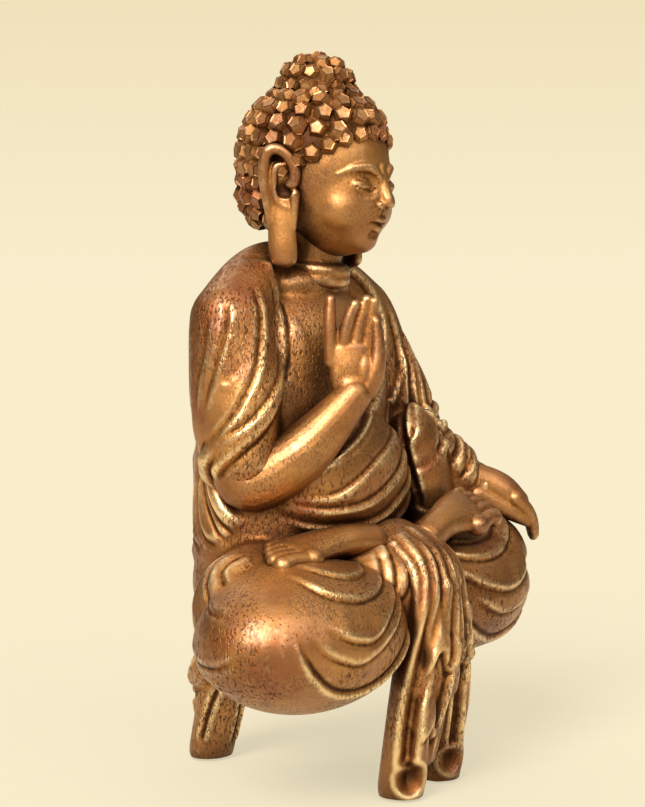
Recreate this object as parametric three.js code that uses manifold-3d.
// A seated devotional figure in cold-cast resin, 300 mm tall, as the separate castings, steel pins,
// felt pads and closing plug that it is bonded together from.
// Millimetres, +Z up. The figure faces -Y, and its own left hand is on the +X side.
// The robe's hem hangs to the ground between the knees and behind the seat, and those two stand on pads.
import * as THREE from "three";
import { mergeVertices } from "three/addons/utils/BufferGeometryUtils.js";
import Module from "manifold-3d";

const wasm = await Module();
wasm.setup();

// ---- driving dimensions ----
const GAP = 0.3; // left between castings for the adhesive
const WALL = 6; // of the slush-cast shells
const FLOOR_PAD = 1.2; // thickness of a felt pad
const PAD_RADIUS = 5;
const PIN_RADIUS = 1.5;
const WAIST_Z = 104; // where the upper castings sit on the lower ones
const SIDE_X = 33; // joint faces between the torso and the sleeves
const SEAT_Y = 8; // joint face between the knees and the seat
const RIGHT_KNEE = { at: [-50, -25, 69], radii: [50, 37, 30] };
const LEFT_KNEE = { at: [50, -25, 75], radii: [50, 37, 29] }; // the left leg crosses over, so it lies higher
const SHOULDER = { x: 46, y: 13, z: 190, radius: 16 };
const NECK = { x: 0, y: 3 };
const HEAD_TILT = 0.14; // radians, face lowered
const CURL_RADIUS = 4.4;

// ---- solids ----
const solidOf = (geometry) => {
  geometry.deleteAttribute("normal");
  geometry.deleteAttribute("uv");
  const merged = mergeVertices(geometry, 1e-4);
  return new wasm.Manifold(
    new wasm.Mesh({
      numProp: 3,
      vertProperties: merged.attributes.position.array,
      triVerts: new Uint32Array(merged.index.array),
    }),
  );
};

const join = (...solids) => solids.reduce((whole, next) => whole.add(next));
const cut = (solid, ...tools) => tools.reduce((left, tool) => left.subtract(tool), solid);

// An ellipsoid, turned about X, Y and Z.
const ball = (at, radii, { turn = [0, 0, 0], around = 16, up = 10 } = {}) =>
  solidOf(
    new THREE.SphereGeometry(1, around, up)
      .rotateX(Math.PI / 2)
      .scale(...radii)
      .applyMatrix4(new THREE.Matrix4().makeRotationFromEuler(new THREE.Euler(...turn)))
      .translate(...at),
  );

const block = (low, high) =>
  solidOf(
    new THREE.BoxGeometry(...low.map((v, i) => high[i] - v)).translate(
      ...low.map((v, i) => (v + high[i]) / 2),
    ),
  );

// A rod between two points.
const rod = (from, to, radius, sides = 10) => {
  const start = new THREE.Vector3(...from);
  const along = new THREE.Vector3(...to).sub(start);
  const turn = new THREE.Quaternion().setFromUnitVectors(
    new THREE.Vector3(0, 1, 0),
    along.clone().normalize(),
  );
  return solidOf(
    new THREE.CylinderGeometry(radius, radius, along.length(), sides)
      .applyQuaternion(turn)
      .translate(...start.addScaledVector(along, 0.5).toArray()),
  );
};

// A rounded limb along a curve: each radius is a number, or [across, thick] for an oval section
// whose long side lies along `across`.
const limb = (points, radii, { across = [0, 0, 1], sides = 10, steps = 4, grow = 0 } = {}) => {
  const curve = new THREE.CatmullRomCurve3(points.map((p) => new THREE.Vector3(...p)));
  const pairs = radii.map((r) => (Array.isArray(r) ? r : [r, r]));
  const geometry = new THREE.CapsuleGeometry(1, 1, 2, sides, steps);
  const position = geometry.attributes.position;
  for (let i = 0; i < position.count; i++) {
    const y = position.getY(i);
    const inside = THREE.MathUtils.clamp(y, -0.5, 0.5);
    const t = inside + 0.5;
    const tangent = curve.getTangentAt(t);
    const thick = new THREE.Vector3().crossVectors(new THREE.Vector3(...across), tangent).normalize();
    const wide = new THREE.Vector3().crossVectors(tangent, thick);
    const place = t * (pairs.length - 1);
    const first = Math.min(Math.floor(place), pairs.length - 2);
    const [rWide, rThick] = [0, 1].map(
      (k) => THREE.MathUtils.lerp(pairs[first][k], pairs[first + 1][k], place - first) + grow,
    );
    const point = curve
      .getPointAt(t)
      .addScaledVector(tangent, (y - inside) * Math.min(rWide, rThick))
      .addScaledVector(wide, position.getX(i) * rWide)
      .addScaledVector(thick, position.getZ(i) * rThick);
    position.setXYZ(i, point.x, point.y, point.z);
  }
  const made = solidOf(geometry);
  if (made.volume() < 0) throw new Error("a limb is inside out");
  return made;
};

const mirrored = ([x, y, z]) => [-x, y, z];

// ---- the robed body, one form that the body castings are parted from ----
const upperArm = (side, grow) =>
  limb(
    [
      [side * SHOULDER.x, SHOULDER.y, SHOULDER.z],
      [side * (SHOULDER.x + 2), SHOULDER.y - 4, 160],
      [side * (SHOULDER.x + 3), SHOULDER.y - 8, 136],
    ],
    [
      [SHOULDER.radius, SHOULDER.radius],
      [SHOULDER.radius + 3, SHOULDER.radius - 1],
      [SHOULDER.radius, SHOULDER.radius - 2.5],
    ],
    { across: [0, 1, 0], grow },
  );

const knee = ({ at, radii }, grow = 0) =>
  ball(at, radii.map((r) => r + grow), { around: 20, up: 12 });
// what lies below the waist, which the hanging hems are fitted against
const lapForm = (grow = 0) =>
  join(
    ball([0, 12, 82], [52 + grow, 38 + grow, 33 + grow], { around: 20, up: 12 }),
    knee(RIGHT_KNEE, grow),
    knee(LEFT_KNEE, grow),
    ball([0, -28, 82], [34 + grow, 30 + grow, 24 + grow]), // crossed shins under the cloth
    ball([0, 0, 122], [43 + grow, 33 + grow, 36 + grow]), // belly and waist
    limb(
      [
        [0, 13, 100],
        [0, 14, 135],
        [0, 13, 168],
        [0, 10, 188],
      ],
      [
        [51, 36],
        [51, 34],
        [49, 30],
        [38, 17],
      ],
      { across: [1, 0, 0], sides: 20, grow },
    ), // cloak down the back
  );
const bodyForm = () =>
  join(
    lapForm(),
    ball([0, 9, 166], [40, 28, 42]), // chest
    limb(
      [
        [-SHOULDER.x, SHOULDER.y, SHOULDER.z + 1],
        [-24, 17, 207],
        [0, 19, 211],
        [24, 17, 207],
        [SHOULDER.x, SHOULDER.y, SHOULDER.z + 1],
      ],
      [15.5, 12, 10, 12, 15.5],
      { steps: 8 },
    ), // collar of the cloak over the shoulders
    upperArm(-1, 0),
    upperArm(1, 0),
    // sleeve of the lowered arm and the cloth that hangs over it
    limb(
      [
        [50, 8, 176],
        [57, -4, 158],
        [59, -10, 147],
      ],
      [14, 11, 9],
    ),
    limb(
      [
        [52, 2, 136],
        [62, -16, 128],
        [71, -31, 118],
      ],
      [17, 15, 9],
    ),
  );
const body = bodyForm();

const TALL = [WAIST_Z + GAP / 2, 240];
const LOW = [20, WAIST_Z - GAP / 2];
const chestHollow = ball([0, 12, 148], [31, 22, 60]);
const armHollow = (side) => upperArm(side, -WALL - 1);
const kneeHollow = ({ at, radii }) => ball([at[0] * 0.86, at[1] + 4, at[2]], radii.map((r) => r - WALL));
const seatHollow = ball([0, 12, 82], [44, 31, 26]);

// ---- the closing plug of the underside, and its hole ----
const PLUG = { y: 22, radius: 13, top: 62, bottom: 46 };
const plugRod = (radius, top) =>
  rod([0, PLUG.y, PLUG.bottom - 6], [0, PLUG.y, top], radius, 24);

// ---- limbs, feet and hands ----
const ELBOW = [-46, 2, 127];
const WRIST = [-23, -31, 161];
const forearm = (grow) =>
  limb(
    [ELBOW, [-38, -16, 139], WRIST],
    [12.5 + grow, 11.5 + grow, 7.2 + grow],
    { sides: 14 },
  );
// the raised hand stands on the wrist, its palm turned out to the figure's right
const PALM_ROW = new THREE.Vector3(0.62, -0.78, 0); // from the little finger to the forefinger
const handPoint = (along, up, out = 0) => [
  WRIST[0] + 2 + PALM_ROW.x * along + PALM_ROW.y * out,
  WRIST[1] + 2 + PALM_ROW.y * along - PALM_ROW.x * out,
  WRIST[2] + up,
];
const raisedHand = (grow = 0) =>
  join(
    limb([handPoint(0, 2), handPoint(-1, 10), handPoint(-1, 17)], [[6.5, 6], [8.5, 5], [9, 4]], {
      across: PALM_ROW.toArray(),
      grow,
    }),
    ...[-8, -3.2, 1.8, 6.6].map((along, i) =>
      limb(
        [
          handPoint(along, 15),
          handPoint(along + [-0.5, 0.5, 1.5, 0][i], 25, [0, 1, 0, 0][i]),
          handPoint(along + [-0.5, 2, 4, 1][i], [37, 30, 37, 36][i], [0, 3.5, 2, 1.5][i]),
        ],
        [2.7, 2.4, 2.1],
        { sides: 6, steps: 2, grow },
      ),
    ),
    limb([handPoint(5, 4, 1), handPoint(9, 15, 2), handPoint(9.5, 32, 3)], [4.5, 3.2, 2.1], {
      sides: 6,
      steps: 3,
      grow,
    }),
  );

const LEFT_WRIST = [72, -32, 117];
const loweredHand = (grow = 0) =>
  join(
    limb([LEFT_WRIST, [78, -37, 114.5], [84, -41, 110]], [[6, 6], [8, 5], [8.5, 4]], {
      across: [0.75, -0.65, 0],
      grow,
    }),
    ...[0, 1, 2, 3].map((i) => {
      const side = [6 - 4 * i, 5.2 - 3.5 * i];
      return limb(
        [
          [83 + side[0] * 0.6, -39 + side[1] * 0.9, 110],
          [89 + side[0] * 0.6, -44 + side[1] * 0.9, 105],
          [92 + side[0] * 0.4, -48 + side[1] * 0.8, 95 + Math.abs(i - 1.5)],
        ],
        [2.7, 2.5, 2.1],
        { sides: 6, steps: 2, grow },
      );
    }),
    limb([[76, -38, 111], [80, -45, 107], [83, -50, 101]], [3.6, 3.1, 2.3], {
      sides: 6,
      steps: 3,
      grow,
    }),
  );

// A bare foot lying on the lap: heel, ball and five toes.
const foot = (heel, toe, toeRow, grow = 0) => {
  const at = (share, side = 0, lift = 0) =>
    heel.map((v, i) => v + (toe[i] - v) * share + toeRow[i] * side + (i === 2 ? lift : 0));
  return join(
    limb([at(0), at(0.45), at(0.82)], [[7.5, 6.5], [7, 5.5], [9.5, 4.6]], {
      across: toeRow,
      sides: 12,
      grow,
    }),
    ...[-7.6, -2.9, 0.7, 4, 7].map((side, i) =>
      limb([at(0.8, side, -0.5), at(1.05 - 0.03 * i, side * 1.04, -1)], [3, 3.3 - 0.32 * i], {
        sides: 6,
        steps: 1,
        grow,
      }),
    ),
  );
};
const rightFoot = (grow) => foot([18, -38, 102], [47, -45, 106], [0.05, 1, 0.25], grow);
const leftFoot = (grow) => foot([-14, -34, 102], [-53, -9, 98.5], [0.42, 0.9, 0.05], grow);

// ---- the hanging hems that carry the figure ----
const frontHem = () =>
  join(
    limb([[4, -40, 97], [5, -57, 84], [2, -55, 60]], [[12, 5], [19, 6], [21, 6]], {
      across: [1, 0, 0],
      sides: 16,
    }),
    limb([[-9, -53, 64], [-12, -50, 30], [-13, -47, 9.5]], [8, 9.5, 9], { sides: 14 }),
    limb([[12, -54, 68], [18, -49, 38], [21, -44, 9.5]], [8, 8.5, 9], { sides: 14 }),
    limb([[3, -46, 60], [3, -44, 30], [3, -44, 12]], [[12, 5], [11, 5], [9, 4]], {
      across: [1, 0, 0],
    }),
  );
const rearHem = () =>
  join(
    limb([[0, 46, 52], [0, 50, 30], [0, 57, 10]], [[13, 10], [12, 9.5], [11, 8.5]], {
      across: [1, 0, 0],
      sides: 14,
    }),
    limb([[-13, 40, 45], [-1, 57, 33], [13, 48, 42]], [6, 8, 6]),
  );
const FEET = [
  ["felt_pad_front_right", -13, -47],
  ["felt_pad_front_left", 21, -44],
  ["felt_pad_rear", 0, 58],
];
const belowPads = block([-120, -120, -30], [120, 120, FLOOR_PAD + GAP]);
const padDisc = (x, y) => rod([x, y, 0], [x, y, FLOOR_PAD], PAD_RADIUS, 16);

// ---- head ----
const tilt = (point) =>
  new THREE.Vector3(...point)
    .sub(new THREE.Vector3(0, NECK.y, 222))
    .applyAxisAngle(new THREE.Vector3(1, 0, 0), HEAD_TILT)
    .add(new THREE.Vector3(0, NECK.y, 222))
    .toArray();
const headBall = (at, radii, grow = 0, options = {}) =>
  ball(tilt(at), radii.map((r) => r + grow), { turn: [HEAD_TILT, 0, 0], ...options });
const headForm = (grow = 0) =>
  join(
    headBall([0, 2, 250], [24.5, 30, 30], grow),
    headBall([0, -6, 233], [19.5, 21, 18], grow), // cheeks and jaw
    headBall([0, -16.5, 224], [8, 7, 6], grow, { around: 10, up: 6 }), // chin
    headBall([0, -25.5, 240], [3.4, 4.5, 9], grow, { around: 8, up: 6 }), // nose
  );
const HAIR = { centre: [0, 8, 257], radii: [27, 31.5, 28.5] };
const KNOT = { centre: [0, 11, 283.1], radii: [14.5, 15.5, 13] };
// the hairline runs over the brow and down behind the ears: all in front of and below it is bare
const bareFace = join(
  headBall([0, -40, 244], [34, 40, 21.5], 0, { around: 18, up: 10 }),
  headBall([0, -18, 214], [40, 32, 24]),
  headBall([0, 8, 205], [40, 40, 20]),
);
const knotBase = (grow) => headBall(KNOT.centre, KNOT.radii, grow, { around: 12, up: 8 });

// Rows of curls over a dome: each is a small faceted knob half sunk in it.
const curlRows = (form, radius, fromShare, toShare, keep = () => true) => {
  const made = [];
  const height = (toShare - fromShare) * Math.PI * 0.5 * form.radii[2];
  const rows = Math.round(height / (radius * 1.75));
  for (let row = 0; row <= rows; row++) {
    const rise = (fromShare + ((toShare - fromShare) * row) / rows) * Math.PI * 0.5;
    const ring = Math.cos(rise) ** (rise < 0 ? 0.45 : 1);
    const around = 2 * Math.PI * ring * 0.5 * (form.radii[0] + form.radii[1]);
    const count = Math.max(1, Math.round(around / (radius * 2.05)));
    for (let i = 0; i < count; i++) {
      const turn = ((i + (row % 2) / 2) / count) * 2 * Math.PI;
      const at = [
        form.centre[0] + Math.sin(turn) * ring * form.radii[0],
        form.centre[1] - Math.cos(turn) * ring * form.radii[1],
        form.centre[2] + Math.sin(rise) * form.radii[2],
      ];
      if (keep(at)) made.push({ at: tilt(at), spin: turn });
    }
  }
  return made.map(({ at, spin }) =>
    solidOf(
      new THREE.OctahedronGeometry(radius, 0)
        .rotateZ(spin)
        .rotateX(HEAD_TILT)
        .translate(...at),
    ),
  );
};
const overBrow = ([x, y, z]) => {
  const toEars = Math.min(1, Math.max(0, (y + 30) / 34));
  const line = y > 12 ? 224 + Math.abs(x) * 0.2 : 268 - 22 * toEars - Math.abs(x) * 0.1;
  return z > line;
};
const offKnot = (at) => Math.hypot(at[0], at[1] - KNOT.centre[1]) > KNOT.radii[0] - 1 || at[2] < 270;

// The long ear: a flat lobe with a raised rim, standing off the head.
const ear = (side, grow = 0) =>
  join(
    limb(
      [[27, 8, 249], [28, 5, 234], [26.5, 3, 213]].map(([x, y, z]) => tilt([side * x, y, z])),
      [[7.5, 2.6], [6.5, 2.2], [5.6, 2.4]],
      { across: [side * 0.35, 0.94, 0], grow },
    ),
    limb(
      [[26.5, 0, 246], [28.5, 4, 255], [31, 12, 252], [30.5, 13, 238], [28.5, 8, 222]].map(([x, y, z]) =>
        tilt([side * x, y, z]),
      ),
      [1.8, 2.4, 2.4, 2.2, 2],
      { sides: 6, steps: 7, grow },
    ),
  );
const neckForm = (grow = 0) =>
  join(
    rod([NECK.x, NECK.y, 200], [NECK.x, NECK.y - 2, 226], 12 + grow, 16),
    ball([NECK.x, NECK.y - 1, 209], [13.5 + grow, 13 + grow, 3.4 + grow], { up: 6 }),
  );

// ---- steel pins: [name, from, to] ----
const PINS = [
  ["neck_pin", [0, 5, 190], [0, 3, 240]],
  ["right_arm_pin", [-48, 8, 143], [-46, 1, 121]],
  ["right_hand_pin", [-27, -27, 156], [-19, -33, 176]],
  ["left_hand_pin", [66, -25, 121], [79, -38, 114]],
  ["front_hem_pin_right", [-6, -36, 74], [-9, -52, 54]],
  ["front_hem_pin_left", [12, -36, 74], [15, -52, 54]],
  ["rear_hem_pin", [0, 40, 72], [0, 49, 36]],
];
const pin = ([, from, to], grow = 0) => rod(from, to, PIN_RADIUS + grow, 8);
const pinHole = (entry) => {
  const [name, from, to] = entry;
  const along = new THREE.Vector3(...to).sub(new THREE.Vector3(...from)).normalize().multiplyScalar(GAP);
  return rod(
    new THREE.Vector3(...from).sub(along).toArray(),
    new THREE.Vector3(...to).add(along).toArray(),
    PIN_RADIUS + GAP,
    8,
  );
};
const pinHoles = PINS.map(pinHole);

// ---- the castings, each cut clear of the ones it is bonded to ----
const half = GAP / 2;
const forearmSeat = forearm(GAP);
const hemSeats = [rightFoot(GAP), leftFoot(GAP)];
const neckSeat = neckForm(GAP);
const leftHandSeat = loweredHand(GAP);
const rightHandSeat = raisedHand(GAP);

const upper = cut(
  body,
  forearmSeat,
  neckSeat,
  leftHandSeat,
  rightHandSeat,
  ...hemSeats,
  headForm(GAP),
  ear(-1, GAP),
  ear(1, GAP),
);
const lower = cut(body, ...hemSeats, leftHandSeat);
const partOf = (whole, low, high) => whole.intersect(block(low, high));

const frontHemForm = cut(frontHem(), belowPads);
const rearHemForm = cut(rearHem(), belowPads);
const lapSeat = lapForm(GAP);
const largest = (solid) =>
  solid.decompose().reduce((best, next) => (next.volume() > best.volume() ? next : best));

const castings = {
  torso: cut(
    partOf(upper, [-SIDE_X + half, -120, TALL[0]], [SIDE_X - half, 120, TALL[1]]),
    chestHollow,
  ),
  right_sleeve: cut(
    partOf(upper, [-120, -120, TALL[0]], [-SIDE_X - half, 120, TALL[1]]),
    cut(armHollow(-1), block([-120, -120, 20], [120, 120, 146])),
  ),
  left_sleeve: partOf(upper, [SIDE_X + half, -120, TALL[0]], [120, 120, TALL[1]]),
  seat: cut(
    partOf(lower, [-120, SEAT_Y + half, LOW[0]], [120, 120, LOW[1]]),
    seatHollow,
    plugRod(PLUG.radius + GAP, 80),
    chestHollow,
  ),
  right_knee: cut(
    partOf(lower, [-120, -120, LOW[0]], [-half, SEAT_Y - half, LOW[1]]),
    kneeHollow(RIGHT_KNEE),
    seatHollow,
  ),
  left_knee: cut(
    partOf(lower, [half, -120, LOW[0]], [120, SEAT_Y - half, LOW[1]]),
    kneeHollow(LEFT_KNEE),
    seatHollow,
  ),
  front_hem: cut(frontHemForm, lapSeat, ...hemSeats),
  rear_hem: cut(rearHemForm, lapSeat),
  right_forearm: cut(forearm(0), rightHandSeat),
  right_hand: raisedHand(),
  left_hand: loweredHand(),
  right_foot: rightFoot(0),
  left_foot: leftFoot(0),
  neck: cut(neckForm(), headForm(GAP)),
  head: headForm(),
  hair: cut(
    join(
      cut(
        join(
          headBall(HAIR.centre, HAIR.radii, 0, { around: 14, up: 9 }),
          headBall([0, 11, 240], [24, 26.5, 19], 0, { around: 14, up: 9 }),
        ),
        bareFace,
      ),
      ...curlRows(HAIR, CURL_RADIUS, -0.62, 0.82, (at) => overBrow(at) && offKnot(at)),
    ),
    headForm(GAP),
    knotBase(GAP),
  ),
  topknot: join(knotBase(0), ...curlRows(KNOT, CURL_RADIUS * 0.78, 0.0, 0.97)),
  right_ear: cut(ear(-1), headForm(GAP)),
  left_ear: cut(ear(1), headForm(GAP)),
  underside_plug: plugRod(PLUG.radius, PLUG.top),
};
castings.hair = largest(cut(castings.hair, ear(-1, GAP), ear(1, GAP), neckSeat));
castings.topknot = largest(cut(castings.topknot, headForm(GAP), join(castings.hair)));
for (const name of Object.keys(castings)) {
  castings[name] = largest(cut(castings[name], ...pinHoles));
}

const pins = Object.fromEntries(PINS.map((entry) => [entry[0], pin(entry)]));
const pads = Object.fromEntries(FEET.map(([name, x, y]) => [name, padDisc(x, y)]));

// ---- materials ----
const finish = (color, roughness, metalness) =>
  new THREE.MeshStandardMaterial({ color, roughness, metalness });
const bronze = finish(0x9a6a2c, 0.42, 0.85);
const steel = finish(0xb8bcc0, 0.3, 1);
const felt = finish(0x2c2018, 0.95, 0);
const resin = finish(0x5a4632, 0.8, 0);
const materialOf = (name) => {
  if (name in pins) return steel;
  if (name in pads) return felt;
  return name === "underside_plug" ? resin : bronze;
};

const meshOf = (name, solid) => {
  const { vertProperties, triVerts } = solid.getMesh();
  const geometry = new THREE.BufferGeometry()
    .setAttribute("position", new THREE.BufferAttribute(vertProperties, 3))
    .setIndex(new THREE.BufferAttribute(triVerts, 1));
  geometry.computeVertexNormals();
  const mesh = new THREE.Mesh(geometry, materialOf(name));
  mesh.name = name;
  return mesh;
};

const statue = new THREE.Group();
for (const [name, solid] of Object.entries({ ...castings, ...pins, ...pads })) {
  statue.add(meshOf(name, solid));
}
// the origin is on the ground, under the middle of the figure's box
const bounds = new THREE.Box3().setFromObject(statue);
const middle = bounds.getCenter(new THREE.Vector3());
statue.position.set(-middle.x, -middle.y, -bounds.min.z);

export default statue;
